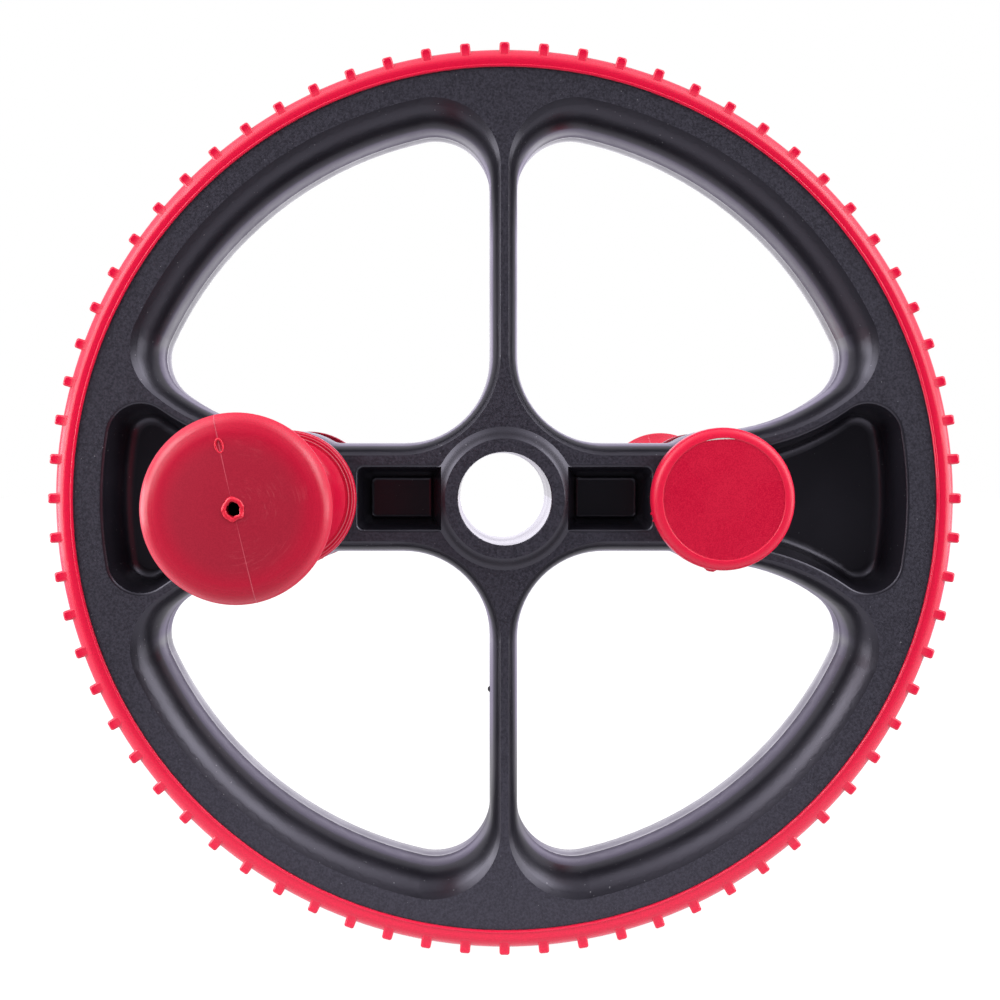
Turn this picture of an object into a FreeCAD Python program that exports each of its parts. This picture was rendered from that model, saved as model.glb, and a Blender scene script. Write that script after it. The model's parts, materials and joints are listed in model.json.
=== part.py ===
import FreeCAD, Part
import math
import os
import Sketcher
from FreeCAD import Placement, Rotation, Vector

# An ab wheel roller: a ribbed wheel of two bonded half mouldings, with two handles that
# stand off its centre, one on each side, and turn freely in the wheel's bosses.
# Frame: origin at the wheel's centre, Y along its axle line, +Z up, millimetres and degrees.

DIMENSIONS = {
    # Tread
    "tread_radius": 150.0,
    "tread_thickness": 6.3,
    "tread_overhang": 0.8,
    "tread_edge_round": 0.35,
    "tread_lip_width": 0.9,
    "tread_lip_rise": 0.4,
    "shoulder_round": 3.5,
    "rib_height": 2.0,
    "rib_width": 3.5,
    "rib_flat_width": 1.7,
    "rib_tip_round": 0.8,
    "rib_bevel": 0.5,
    "rib_end_gap": 0.7,
    "rib_root": 2.2,
    "tongue_width": 6.0,
    "tongue_depth": 2.5,
    # Wheel
    "wheel_width": 52.0,
    "rim_depth": 14.9,
    "wall_turn": 83.0,
    "rim_rise": 7.5,
    "arm_rise": 4.4,
    "spoke_rise": 3.5,
    "spoke_thickness": 9.5,
    "arm_width": 37.0,
    "hub_corner": 29.0,
    "rim_corner": 19.0,
    "arm_corner": 15.0,
    "bulge_corner": 6.0,
    "flare_radius": 67.0,
    "core_inner_wall": 4.6,
    "core_outer_wall": 2.1,
    "core_depth": 18.0,
    "core_spoke_gap": 24.0,
    "core_arm_gap": 60.0,
    # Hub
    "hub_bore_radius": 15.3,
    "hub_ring_radius": 19.6,
    "hub_foot_radius": 23.6,
    "hub_rise": 3.0,
    "hub_edge_round": 0.4,
    # Hollows in the arms' faces
    "pocket_depth": 18.0,
    "pocket_draft": 11.0,
    "pocket_edge_round": 1.2,
    "box_start": 20.8,
    "box_boss_gap": 21.9,
    "box_width": 20.8,
    "box_corner_round": 2.0,
    "box_floor_round": 1.2,
    "fan_rim": 9.4,
    "fan_side_wall": 7.0,
    "fan_corner": 11.0,
    "fan_boss_wall": 5.5,
    "fan_floor_round": 4.0,
    # Handle seats
    "handle_offset": 70.4,
    "boss_radius": 22.6,
    "boss_bore_radius": 15.3,
    "boss_pad_radius": 18.0,
    "boss_rise": 1.5,
    "bush_length": 18.0,
    "bush_flange_radius": 17.6,
    "bush_flange_thickness": 1.5,
    # Tube and its fastening
    "tube_radius": 12.5,
    "tube_wall": 2.0,
    "tube_end_gap": 0.3,
    "plug_length": 20.0,
    "bolt_radius": 4.0,
    "bolt_length": 16.0,
    "bolt_point": 0.8,
    "bolt_head_radius": 7.0,
    "bolt_head_height": 3.2,
    "bolt_head_round": 1.6,
    "bolt_socket_width": 5.0,
    "bolt_socket_depth": 1.8,
    "keeper_radius": 17.0,
    "keeper_thickness": 1.6,
    "slip_radius": 17.0,
    "slip_thickness": 1.0,
    # Grip
    "grip_length": 110.8,
    "grip_base_radius": 22.3,
    "grip_base_thickness": 3.6,
    "grip_base_round": 1.1,
    "grip_ring_radius": 20.1,
    "grip_ring_thickness": 1.5,
    "grip_collar_radius": 19.1,
    "grip_collar_thickness": 1.5,
    "grip_ring_round": 0.4,
    "grip_neck_length": 11.0,
    "grip_neck_radius": 15.8,
    "grip_neck_hollow": 1.2,
    "grip_barrel_rise": 1.4,
    "grip_flare_length": 13.0,
    "grip_flare_hollow": 1.6,
    "grip_flange_radius": 24.6,
    "grip_flange_thickness": 6.0,
    "grip_flange_round": 3.0,
    "grip_flange_back_round": 1.2,
    "grip_crown": 1.6,
    "grip_end_wall": 4.5,
    "grip_vent_radius": 1.9,
    # End cap
    "cap_radius": 23.1,
    "cap_height": 7.4,
    "cap_round": 2.6,
    "cap_skirt_round": 0.6,
    "cap_lip_round": 0.3,
    "cap_gap": 0.6,
    "cap_head_room": 0.4,
    "cap_hollow_radius": 9.0,
    "disc_radius": 19.6,
    "disc_thickness": 1.0,
    "disc_recess": 1.3,
    "disc_edge": 0.1,
    # Fits
    "seat_gap": 0.03,
    "running_gap": 0.06,
    "face_gap": 0.1,
    "overrun": 5.0,
}
RIB_COUNT = 72
WALL_STEPS = 5
HEXAGON_SIDES = 6
NEAR = 1e-4

document = FreeCAD.newDocument("AbWheelRoller")
sheet = document.addObject("Spreadsheet::Sheet", "Sizes")


class Size:
    """A length, angle or plain number, with the formula that gives it from the sheet."""

    def __init__(self, value, formula):
        self.value = value
        self.formula = formula

    def joined(self, sign, other, value):
        other_formula = other.formula if isinstance(other, Size) else repr(other)
        return Size(value, f"({self.formula} {sign} {other_formula})")

    def __add__(self, other):
        return self.joined("+", other, self.value + other.value)

    def __sub__(self, other):
        return self.joined("-", other, self.value - other.value)

    def __mul__(self, other):
        return self.joined("*", other, self.value * plain(other))

    def __truediv__(self, other):
        return self.joined("/", other, self.value / plain(other))

    def __neg__(self):
        return Size(-self.value, f"(-1 * {self.formula})")


def plain(size_or_number):
    return size_or_number.value if isinstance(size_or_number, Size) else size_or_number


def sine_of(angle):
    return Size(math.sin(math.radians(angle.value)), f"sin({angle.formula} * 1 deg)")


def fall_of(angle):
    """One less the angle's cosine."""
    return Size(1 - math.cos(math.radians(angle.value)), f"(1 - cos({angle.formula} * 1 deg))")


class Sizes:
    """Every named size of the sheet, as an attribute."""


size = Sizes()
for row, (size_name, size_value) in enumerate(DIMENSIONS.items(), start=1):
    sheet.set(f"A{row}", size_name)
    sheet.set(f"B{row}", str(size_value))
    sheet.setAlias(f"B{row}", size_name)
    setattr(size, size_name, Size(size_value, f"Sizes.{size_name}"))
document.recompute()

ZERO = Size(0.0, "0")
HALF_WIDTH = size.wheel_width / 2
BASE_RADIUS = size.tread_radius - size.rib_height
SEAT_RADIUS = BASE_RADIUS - size.tread_thickness
WINDOW_RADIUS = SEAT_RADIUS - size.rim_depth
SPOKE_SIDE = size.spoke_thickness / 2
ARM_SIDE = size.arm_width / 2
FLARE_HEIGHT = size.boss_radius + size.flare_radius
HUB_FACE = HALF_WIDTH + size.hub_rise
POCKET_FLOOR = HALF_WIDTH - size.pocket_depth
BOX_END = size.handle_offset - size.box_boss_gap
BOX_SIDE = size.box_width / 2
BOSS_FACE = HALF_WIDTH + size.boss_rise
BUSH_FACE = BOSS_FACE + size.bush_flange_thickness
BUSH_BORE = size.tube_radius + size.running_gap
TUBE_BORE = size.tube_radius - size.tube_wall
BOLT_HOLE = size.bolt_radius + size.running_gap
TUBE_START = BUSH_FACE + size.tube_end_gap
KEEPER_FACE = TUBE_START + size.keeper_thickness
SLIP_START = BUSH_FACE + size.face_gap
GRIP_START = SLIP_START + size.slip_thickness + size.face_gap
TUBE_END = GRIP_START + size.grip_length - size.grip_end_wall - size.face_gap
CAP_START = BUSH_FACE + size.cap_gap


# Sketches

def bind(thing, prop, value):
    thing.setExpression(prop, value.formula)


def new_body(name):
    return document.addObject("PartDesign::Body", name)


def origin_feature(body, role):
    return [feature for feature in body.Origin.OriginFeatures if feature.Role == role][0]


def new_sketch(body, name, role="XY_Plane", height=None):
    """A sketch on one of the body's own planes, lifted to a height along its normal."""
    sketch = body.newObject("Sketcher::SketchObject", name)
    sketch.AttachmentSupport = [(origin_feature(body, role), "")]
    sketch.MapMode = "FlatFace"
    if height is not None:
        bind(sketch, "AttachmentOffset.Base.z", height)
    return sketch


def hold(sketch, kind, elements, value):
    """A dimension of the sketch, bound to its formula."""
    index = sketch.addConstraint(Sketcher.Constraint(kind, *elements, value.value))
    bind(sketch, f"Constraints[{index}]", value)


def place(sketch, geometry, point, across, up):
    """Holds one point of the sketch at its distances from the sketch's origin."""
    for kind, axis, value in (("DistanceX", -2, across), ("DistanceY", -1, up)):
        if value is None:
            continue
        if value.value == 0:
            sketch.addConstraint(Sketcher.Constraint("PointOnObject", geometry, point, axis))
        elif value.value > 0:
            hold(sketch, kind, (-1, 1, geometry, point), value)
        else:
            hold(sketch, kind, (geometry, point, -1, 1), -value)


def circle(sketch, radius, across=ZERO):
    centre = Vector(across.value, 0, 0)
    index = sketch.addGeometry(Part.Circle(centre, Vector(0, 0, 1), radius.value))
    hold(sketch, "Radius", (index,), radius)
    place(sketch, index, 3, across, ZERO)


def polygon(sketch, points, bulges=None):
    """A closed outline through points. A bulge makes the side after its point an arc that
    stands out to the right of its chord by that much, or to the left where it is negative."""
    bulges = bulges or {}
    count = len(points)
    spots = [Vector(across.value, up.value, 0) for across, up in points]
    indices = []
    tips = []
    for number, start in enumerate(spots):
        end = spots[(number + 1) % count]
        if number in bulges:
            chord = end - start
            right = Vector(chord.y, -chord.x, 0).normalize()
            middle = (start + end) / 2 + right * bulges[number].value
            index = sketch.addGeometry(Part.Arc(start, middle, end))
        else:
            index = sketch.addGeometry(Part.LineSegment(start, end))
        forward = sketch.getPoint(index, 1).distanceToPoint(start) < NEAR
        indices.append(index)
        tips.append((1, 2) if forward else (2, 1))
    for number, index in enumerate(indices):
        following = (number + 1) % count
        ends = (index, tips[number][1], indices[following], tips[following][0])
        sketch.addConstraint(Sketcher.Constraint("Coincident", *ends))
    for number, (across, up) in enumerate(points):
        place(sketch, indices[number], tips[number][0], across, up)
    for number, bulge in bulges.items():
        near = points[number]
        far = points[(number + 1) % count]
        run = far[0] - near[0]
        climb = far[1] - near[1]
        depth = bulge if bulge.value > 0 else -bulge
        radius = (run * run + climb * climb) / (depth * 8) + depth / 2
        hold(sketch, "Radius", (indices[number],), radius)


def arc_between(centre, radius, start, end, turn):
    """An arc from start to end, turning left for +1 and right for -1."""
    first, last = (start, end) if turn > 0 else (end, start)
    first_angle = math.atan2(first.y - centre.y, first.x - centre.x)
    last_angle = math.atan2(last.y - centre.y, last.x - centre.x)
    if last_angle <= first_angle:
        last_angle += 2 * math.pi
    return Part.ArcOfCircle(Part.Circle(centre, Vector(0, 0, 1), radius), first_angle, last_angle)


class Chain:
    """A closed outline of lines and arcs, run round to the left. Each point starts a piece:
    a line where its bend is None, or an arc given as (centre, radius, turn)."""

    def __init__(self, points, bends, sharp=()):
        self.points = points
        self.bends = bends
        self.sharp = sharp

    def piece(self, number):
        start = self.points[number]
        end = self.points[(number + 1) % len(self.points)]
        if self.bends[number] is None:
            return Part.LineSegment(start, end)
        centre, radius, turn = self.bends[number]
        return arc_between(centre, radius, start, end, turn)

    def ends(self, number):
        bend = self.bends[number]
        return (1, 2) if bend is None or bend[2] > 0 else (2, 1)

    def draw(self, sketch):
        """Draws the chain, each piece tangent to the next unless their joint is sharp."""
        count = len(self.points)
        indices = [sketch.addGeometry(self.piece(number)) for number in range(count)]
        for number in range(count):
            following = (number + 1) % count
            kind = "Coincident" if following in self.sharp else "Tangent"
            joint = (indices[number], self.ends(number)[1], indices[following], self.ends(following)[0])
            sketch.addConstraint(Sketcher.Constraint(kind, *joint))
        return indices

    def middle(self, number):
        """The middle of a piece of the outline."""
        piece = self.piece(number)
        return piece.value((piece.FirstParameter + piece.LastParameter) / 2)


def toward(centre, point, radius):
    """The point of a circle about centre that faces another point."""
    return centre + (point - centre).normalize() * radius


def where_circles_meet(centre, radius, other, other_radius):
    """The crossing of two circles on the right-hand side, going from centre to other."""
    gap = other - centre
    along = (radius ** 2 - other_radius ** 2 + gap.Length ** 2) / (2 * gap.Length)
    aside = math.sqrt(radius ** 2 - along ** 2)
    ahead = Vector(gap).normalize()
    return centre + ahead * along + Vector(ahead.y, -ahead.x, 0) * aside


# Features

def pad(body, name, sketch, length, both_ways=False):
    feature = body.newObject("PartDesign::Pad", name)
    feature.Profile = sketch
    if both_ways:
        feature.SideType = "Symmetric"
    bind(feature, "Length", length)
    return feature


def pocket(body, name, sketch, length, upward, lean=None):
    """A cut along the sketch's normal (upward) or against it, which widens by the lean angle."""
    feature = body.newObject("PartDesign::Pocket", name)
    feature.Profile = sketch
    feature.Reversed = upward
    bind(feature, "Length", length)
    if lean is not None:
        bind(feature, "TaperAngle", lean)
    return feature


def spin(body, name, sketch, kind="Revolution"):
    """A solid (Revolution) or a cut (Groove) turned about the sketch's upright axis."""
    feature = body.newObject(f"PartDesign::{kind}", name)
    feature.Profile = sketch
    feature.ReferenceAxis = (sketch, ["V_Axis"])
    feature.Angle = 360
    return feature


def turned(name, points, bulges=None):
    """A body turned about its own Z axis from an outline of radius and height."""
    body = new_body(name)
    sketch = new_sketch(body, f"{name}_section", "XZ_Plane")
    polygon(sketch, points, bulges)
    spin(body, f"{name}_turning", sketch)
    document.recompute()
    return body


def mirrored(body, name, cuts, roles):
    """Repeats cuts across the body's own planes."""
    feature = body.newObject("PartDesign::MultiTransform", name)
    feature.Originals = cuts
    steps = []
    for role in roles:
        step = body.newObject("PartDesign::Mirrored", f"{name}_{role}")
        step.MirrorPlane = (origin_feature(body, role), [""])
        steps.append(step)
    feature.Transformations = steps
    body.Tip = feature
    document.recompute()


def round_edges(body, name, radius, *tests):
    """Rounds those edges of the body's last feature that one of the tests takes."""
    base = body.Tip
    names = []
    for number, edge in enumerate(base.Shape.Edges, start=1):
        if any(test(edge) for test in tests):
            names.append(f"Edge{number}")
    if not names:
        raise RuntimeError(f"{body.Name}: no edge for {name}")
    feature = body.newObject("PartDesign::Fillet", name)
    feature.Base = (base, names)
    bind(feature, "Radius", radius)
    document.recompute()


def middle_of(edge):
    return edge.valueAt((edge.FirstParameter + edge.LastParameter) / 2)


def is_level(edge, height):
    box = edge.BoundBox
    return abs(box.ZMin - height.value) < NEAR and abs(box.ZMax - height.value) < NEAR


def ring_edge(radius, height):
    """A test for the whole circles about the body's axis at a radius and height."""
    def chosen(edge):
        reach = edge.BoundBox
        return (edge.isClosed() and is_level(edge, height)
                and abs(reach.XMax - radius.value) < NEAR and abs(reach.XMin + radius.value) < NEAR)
    return chosen


def folded(point):
    """A point brought into the first quarter of its plane."""
    return Vector(abs(point.x), abs(point.y), 0)


def is_along(chain, edge):
    """Whether an edge lies on a piece of the chain, in any quarter."""
    spot = folded(middle_of(edge))
    middles = [folded(chain.middle(number)) for number in range(len(chain.points))]
    return any(middle.distanceToPoint(spot) < NEAR for middle in middles)


def stand(thing, direction, start=None, side=0):
    """Turns a piece's own Z axis along Y, forward (-1) or back (+1), and sets it at its start
    on the wheel's axle line or, with a side, on the left (-1) or right (+1) handle's."""
    thing.Placement = Placement(Vector(), Rotation(Vector(1, 0, 0), -90 * direction))
    if start is not None:
        bind(thing, "Placement.Base.y", start * direction)
    if side:
        bind(thing, "Placement.Base.x", size.handle_offset * side)


# Wheel halves

class WindowOutline:
    """The sizes of a window's outline where its walls have risen by a share of their whole rise."""

    def __init__(self, share):
        arm_rise = size.arm_rise * share
        spoke_rise = size.spoke_rise * share
        self.spoke = SPOKE_SIDE - spoke_rise
        self.hub_corner = size.hub_corner + arm_rise
        self.arm = ARM_SIDE - arm_rise
        self.bulge_corner = size.bulge_corner + arm_rise
        self.boss = size.boss_radius - arm_rise
        self.flare = size.flare_radius + arm_rise
        self.arm_corner = size.arm_corner + arm_rise
        self.rim = WINDOW_RADIUS + size.rim_rise * share
        self.rim_corner = size.rim_corner + spoke_rise

    def chain(self):
        """The opening in the first quarter of the wheel."""
        hub = Vector(0, 0, 0)
        boss = Vector(size.handle_offset.value, 0, 0)
        flare = Vector(size.handle_offset.value, FLARE_HEIGHT.value, 0)
        spoke_side = self.spoke.value
        arm_side = self.arm.value
        rim = self.rim.value
        hub_bend = self.hub_corner.value
        bulge_bend = self.bulge_corner.value
        arm_bend = self.arm_corner.value
        rim_bend = self.rim_corner.value
        hub_corner = Vector(spoke_side + hub_bend, arm_side + hub_bend, 0)
        bulge_reach = math.sqrt((self.boss.value + bulge_bend) ** 2 - (arm_side + bulge_bend) ** 2)
        bulge_corner = Vector(boss.x - bulge_reach, arm_side + bulge_bend, 0)
        arm_corner = where_circles_meet(hub, rim - arm_bend, flare, self.flare.value - arm_bend)
        rim_reach = math.sqrt((rim - rim_bend) ** 2 - (spoke_side + rim_bend) ** 2)
        rim_corner = Vector(spoke_side + rim_bend, rim_reach, 0)
        points = [
            Vector(spoke_side, rim_corner.y, 0),
            Vector(spoke_side, hub_corner.y, 0),
            Vector(hub_corner.x, arm_side, 0),
            Vector(bulge_corner.x, arm_side, 0),
            toward(boss, bulge_corner, self.boss.value),
            Vector(boss.x, self.boss.value, 0),
            toward(flare, arm_corner, self.flare.value),
            toward(hub, arm_corner, rim),
            toward(hub, rim_corner, rim),
        ]
        bends = [
            None,
            (hub_corner, hub_bend, 1),
            None,
            (bulge_corner, bulge_bend, 1),
            (boss, self.boss.value, -1),
            (flare, self.flare.value, 1),
            (arm_corner, arm_bend, 1),
            (hub, rim, 1),
            (rim_corner, rim_bend, 1),
        ]
        return Chain(points, bends)

    def draw(self, sketch):
        spoke, hub, arm, bulge, boss, flare, arm_corner, rim, rim_corner = self.chain().draw(sketch)
        radii = {
            hub: self.hub_corner,
            bulge: self.bulge_corner,
            boss: self.boss,
            flare: self.flare,
            arm_corner: self.arm_corner,
            rim: self.rim,
            rim_corner: self.rim_corner,
        }
        for index, radius in radii.items():
            hold(sketch, "Radius", (index,), radius)
        sketch.addConstraint(Sketcher.Constraint("Vertical", spoke))
        sketch.addConstraint(Sketcher.Constraint("Horizontal", arm))
        place(sketch, spoke, 1, self.spoke, None)
        place(sketch, arm, 1, None, self.arm)
        place(sketch, rim, 3, ZERO, ZERO)
        place(sketch, boss, 3, size.handle_offset, ZERO)
        place(sketch, flare, 3, size.handle_offset, None)


def cut_window(body, name):
    """One window, whose walls curve out like a long ellipse from the mating face to the outer face."""
    outlines = []
    for step in range(WALL_STEPS + 1):
        turn = size.wall_turn * (step / WALL_STEPS)
        height = HALF_WIDTH * sine_of(turn) / sine_of(size.wall_turn)
        sketch = new_sketch(body, f"{name}_window_outline_{step}", height=height)
        WindowOutline(fall_of(turn) / fall_of(size.wall_turn)).draw(sketch)
        outlines.append(sketch)
    window = body.newObject("PartDesign::SubtractiveLoft", f"{name}_window")
    window.Profile = outlines[0]
    window.Sections = outlines[1:]
    return window


def fan_chain(outer, side, inner):
    """The hollow between the right handle's boss and the rim, even about the X axis."""
    hub = Vector(0, 0, 0)
    boss = Vector(size.handle_offset.value, 0, 0)
    upper = Vector(size.handle_offset.value, FLARE_HEIGHT.value, 0)
    bend = size.fan_corner.value
    corner = where_circles_meet(hub, outer - bend, upper, side + bend)
    neck = where_circles_meet(boss, inner, upper, side)
    shoulder = toward(upper, corner, side)
    tip = toward(hub, corner, outer)

    def below(point):
        return Vector(point.x, -point.y, 0)

    points = [below(neck), below(shoulder), below(tip), tip, shoulder, neck]
    bends = [
        (below(upper), side, -1),
        (below(corner), bend, 1),
        (hub, outer, 1),
        (corner, bend, 1),
        (upper, side, -1),
        (boss, inner, -1),
    ]
    return Chain(points, bends, sharp=(0, 5))


def draw_fan(sketch):
    outer = SEAT_RADIUS - size.fan_rim
    side = size.flare_radius + size.fan_side_wall
    inner = size.boss_bore_radius + size.fan_boss_wall
    chain = fan_chain(outer.value, side.value, inner.value)
    lower, low_corner, rim, high_corner, upper, boss = chain.draw(sketch)
    radii = {
        lower: side,
        low_corner: size.fan_corner,
        rim: outer,
        high_corner: size.fan_corner,
        upper: side,
        boss: inner,
    }
    for index, radius in radii.items():
        hold(sketch, "Radius", (index,), radius)
    place(sketch, lower, 3, size.handle_offset, -FLARE_HEIGHT)
    place(sketch, rim, 3, ZERO, ZERO)
    place(sketch, upper, 3, size.handle_offset, FLARE_HEIGHT)
    place(sketch, boss, 3, size.handle_offset, ZERO)
    return chain


def draw_core(sketch):
    """The hollow inside the rim behind one window, between two circles and two straight ends."""
    inner = WINDOW_RADIUS + size.core_inner_wall
    outer = SEAT_RADIUS - size.tongue_depth - size.core_outer_wall
    hub = Vector(0, 0, 0)
    across = size.core_spoke_gap.value
    up = size.core_arm_gap.value
    points = [
        Vector(math.sqrt(inner.value ** 2 - up ** 2), up, 0),
        Vector(math.sqrt(outer.value ** 2 - up ** 2), up, 0),
        Vector(across, math.sqrt(outer.value ** 2 - across ** 2), 0),
        Vector(across, math.sqrt(inner.value ** 2 - across ** 2), 0),
    ]
    bends = [None, (hub, outer.value, 1), None, (hub, inner.value, -1)]
    low_end, far_arc, high_end, near_arc = Chain(points, bends, sharp=(0, 1, 2, 3)).draw(sketch)
    for index, radius in ((far_arc, outer), (near_arc, inner)):
        hold(sketch, "Radius", (index,), radius)
        place(sketch, index, 3, ZERO, ZERO)
    sketch.addConstraint(Sketcher.Constraint("Horizontal", low_end))
    sketch.addConstraint(Sketcher.Constraint("Vertical", high_end))
    place(sketch, low_end, 1, None, size.core_arm_gap)
    place(sketch, high_end, 1, size.core_spoke_gap, None)


def add_wheel_blank(body, name):
    """The solid disc with its raised hub and boss faces."""
    disc_sketch = new_sketch(body, f"{name}_disc")
    circle(disc_sketch, SEAT_RADIUS)
    pad(body, f"{name}_blank", disc_sketch, HALF_WIDTH)
    hub_sketch = new_sketch(body, f"{name}_hub_section", "XZ_Plane")
    polygon(hub_sketch, [
        (ZERO, ZERO),
        (size.hub_foot_radius, ZERO),
        (size.hub_foot_radius, HALF_WIDTH),
        (size.hub_ring_radius, HUB_FACE),
        (ZERO, HUB_FACE),
    ])
    spin(body, f"{name}_hub", hub_sketch)
    seat_sketch = new_sketch(body, f"{name}_boss_pads", height=HALF_WIDTH)
    circle(seat_sketch, size.boss_pad_radius, size.handle_offset)
    circle(seat_sketch, size.boss_pad_radius, -size.handle_offset)
    pad(body, f"{name}_boss_faces", seat_sketch, size.boss_rise)
    document.recompute()


def cut_arm_hollows(body, name):
    """A box between hub and boss and a fan between boss and rim, in the face of each arm."""
    box_sketch = new_sketch(body, f"{name}_box_outline", height=HALF_WIDTH)
    polygon(box_sketch, [
        (size.box_start, -BOX_SIDE),
        (BOX_END, -BOX_SIDE),
        (BOX_END, BOX_SIDE),
        (size.box_start, BOX_SIDE),
    ])
    box = pocket(body, f"{name}_box", box_sketch, size.pocket_depth, False, -size.pocket_draft)
    box_mouth = pocket(body, f"{name}_box_mouth", box_sketch, size.hub_rise + size.overrun, True)
    fan_sketch = new_sketch(body, f"{name}_fan_outline", height=HALF_WIDTH)
    fan_outline = draw_fan(fan_sketch)
    fan = pocket(body, f"{name}_fan", fan_sketch, size.pocket_depth, False, -size.pocket_draft)
    document.recompute()
    mirrored(body, f"{name}_arm_hollows", [box, box_mouth, fan], ["YZ_Plane"])

    def box_corner(edge):
        spot = folded(middle_of(edge))
        low = edge.BoundBox.ZMin - POCKET_FLOOR.value
        high = edge.BoundBox.ZMax - HALF_WIDTH.value
        at_boss = BOX_END.value - size.pocket_depth.value < spot.x < BOX_END.value
        return abs(low) < NEAR and abs(high) < NEAR and at_boss and spot.y < BOX_SIDE.value

    def floor_edge(edge):
        return is_level(edge, POCKET_FLOOR)

    def box_floor(edge):
        return floor_edge(edge) and abs(middle_of(edge).x) < BOX_END.value

    def fan_floor(edge):
        return floor_edge(edge) and abs(middle_of(edge).x) > size.handle_offset.value

    def fan_mouth(edge):
        return is_level(edge, HALF_WIDTH) and is_along(fan_outline, edge)

    def box_mouth(edge):
        spot = folded(middle_of(edge))
        in_box = size.hub_foot_radius.value < spot.x < BOX_END.value + NEAR
        return is_level(edge, HALF_WIDTH) and in_box and spot.y < BOX_SIDE.value + NEAR

    round_edges(body, f"{name}_box_corners", size.box_corner_round, box_corner)
    round_edges(body, f"{name}_box_floors", size.box_floor_round, box_floor)
    round_edges(body, f"{name}_fan_floors", size.fan_floor_round, fan_floor)
    round_edges(body, f"{name}_fan_mouths", size.pocket_edge_round, fan_mouth)
    round_edges(body, f"{name}_box_mouths", size.pocket_edge_round, box_mouth)


def cut_bores(body, name):
    """The hub's and bosses' through holes and the rebate for the tread's tongue."""
    bore_sketch = new_sketch(body, f"{name}_bore_outlines")
    circle(bore_sketch, size.hub_bore_radius)
    circle(bore_sketch, size.boss_bore_radius, size.handle_offset)
    circle(bore_sketch, size.boss_bore_radius, -size.handle_offset)
    pocket(body, f"{name}_bores", bore_sketch, HUB_FACE + size.overrun, True)
    rebate_sketch = new_sketch(body, f"{name}_rebate_section", "XZ_Plane")
    rebate_radius = SEAT_RADIUS - size.tongue_depth
    rebate_height = size.tongue_width / 2 + size.seat_gap
    polygon(rebate_sketch, [
        (rebate_radius, ZERO),
        (SEAT_RADIUS + size.overrun, ZERO),
        (SEAT_RADIUS + size.overrun, rebate_height),
        (rebate_radius, rebate_height),
    ])
    spin(body, f"{name}_rebate", rebate_sketch, "Groove")
    document.recompute()


def wheel_half(name, direction):
    """One half moulding, with its mating face on its XY plane and its outer face towards +Z."""
    body = new_body(name)
    add_wheel_blank(body, name)
    window = cut_window(body, name)
    core_sketch = new_sketch(body, f"{name}_core_outline")
    draw_core(core_sketch)
    core = pocket(body, f"{name}_core", core_sketch, size.core_depth, True)
    document.recompute()
    mirrored(body, f"{name}_windows", [window, core], ["YZ_Plane", "XZ_Plane"])
    cut_arm_hollows(body, name)
    cut_bores(body, name)
    hub_edges = [ring_edge(reach, HUB_FACE) for reach in (size.hub_ring_radius, size.hub_bore_radius)]
    round_edges(body, f"{name}_hub_rims", size.hub_edge_round, *hub_edges)
    stand(body, direction)
    return body


# Tread

def tread():
    """The soft band: a ring with a tongue inside, a lip at each edge and cross ribs outside, all round."""
    inner = SEAT_RADIUS + size.seat_gap
    half = HALF_WIDTH + size.tread_overhang
    lip = inner + size.tread_lip_width
    face = half - size.tread_lip_rise
    tongue = size.tongue_width / 2
    tongue_radius = inner - size.tongue_depth
    body = turned("tread", [
        (inner, -half),
        (lip, -half),
        (lip, -face),
        (BASE_RADIUS, -face),
        (BASE_RADIUS, face),
        (lip, face),
        (lip, half),
        (inner, half),
        (inner, tongue),
        (tongue_radius, tongue),
        (tongue_radius, -tongue),
        (inner, -tongue),
    ])
    shoulder_edges = [ring_edge(BASE_RADIUS, height) for height in (face, -face)]
    round_edges(body, "tread_shoulders", size.shoulder_round, *shoulder_edges)
    lip_edges = [ring_edge(reach, height) for reach in (inner, lip) for height in (half, -half)]
    round_edges(body, "tread_lips", size.tread_edge_round, *lip_edges)

    end = half - size.rib_end_gap
    shoulder = end - size.rib_bevel
    stations = [(-end, size.rib_bevel), (-shoulder, ZERO), (shoulder, ZERO), (end, size.rib_bevel)]
    outlines = []
    for number, (height, inset) in enumerate(stations):
        sketch = new_sketch(body, f"tread_rib_outline_{number}", height=height)
        draw_rib(sketch, inset)
        outlines.append(sketch)
    rib = body.newObject("PartDesign::AdditiveLoft", "tread_rib")
    rib.Profile = outlines[0]
    rib.Sections = outlines[1:]
    rib.Ruled = True
    document.recompute()
    ribs = body.newObject("PartDesign::PolarPattern", "tread_ribs")
    ribs.Originals = [rib]
    ribs.Axis = (origin_feature(body, "Z_Axis"), [""])
    ribs.Angle = 360
    ribs.Occurrences = RIB_COUNT
    body.Tip = ribs
    document.recompute()
    stand(body, -1)
    return body


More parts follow.
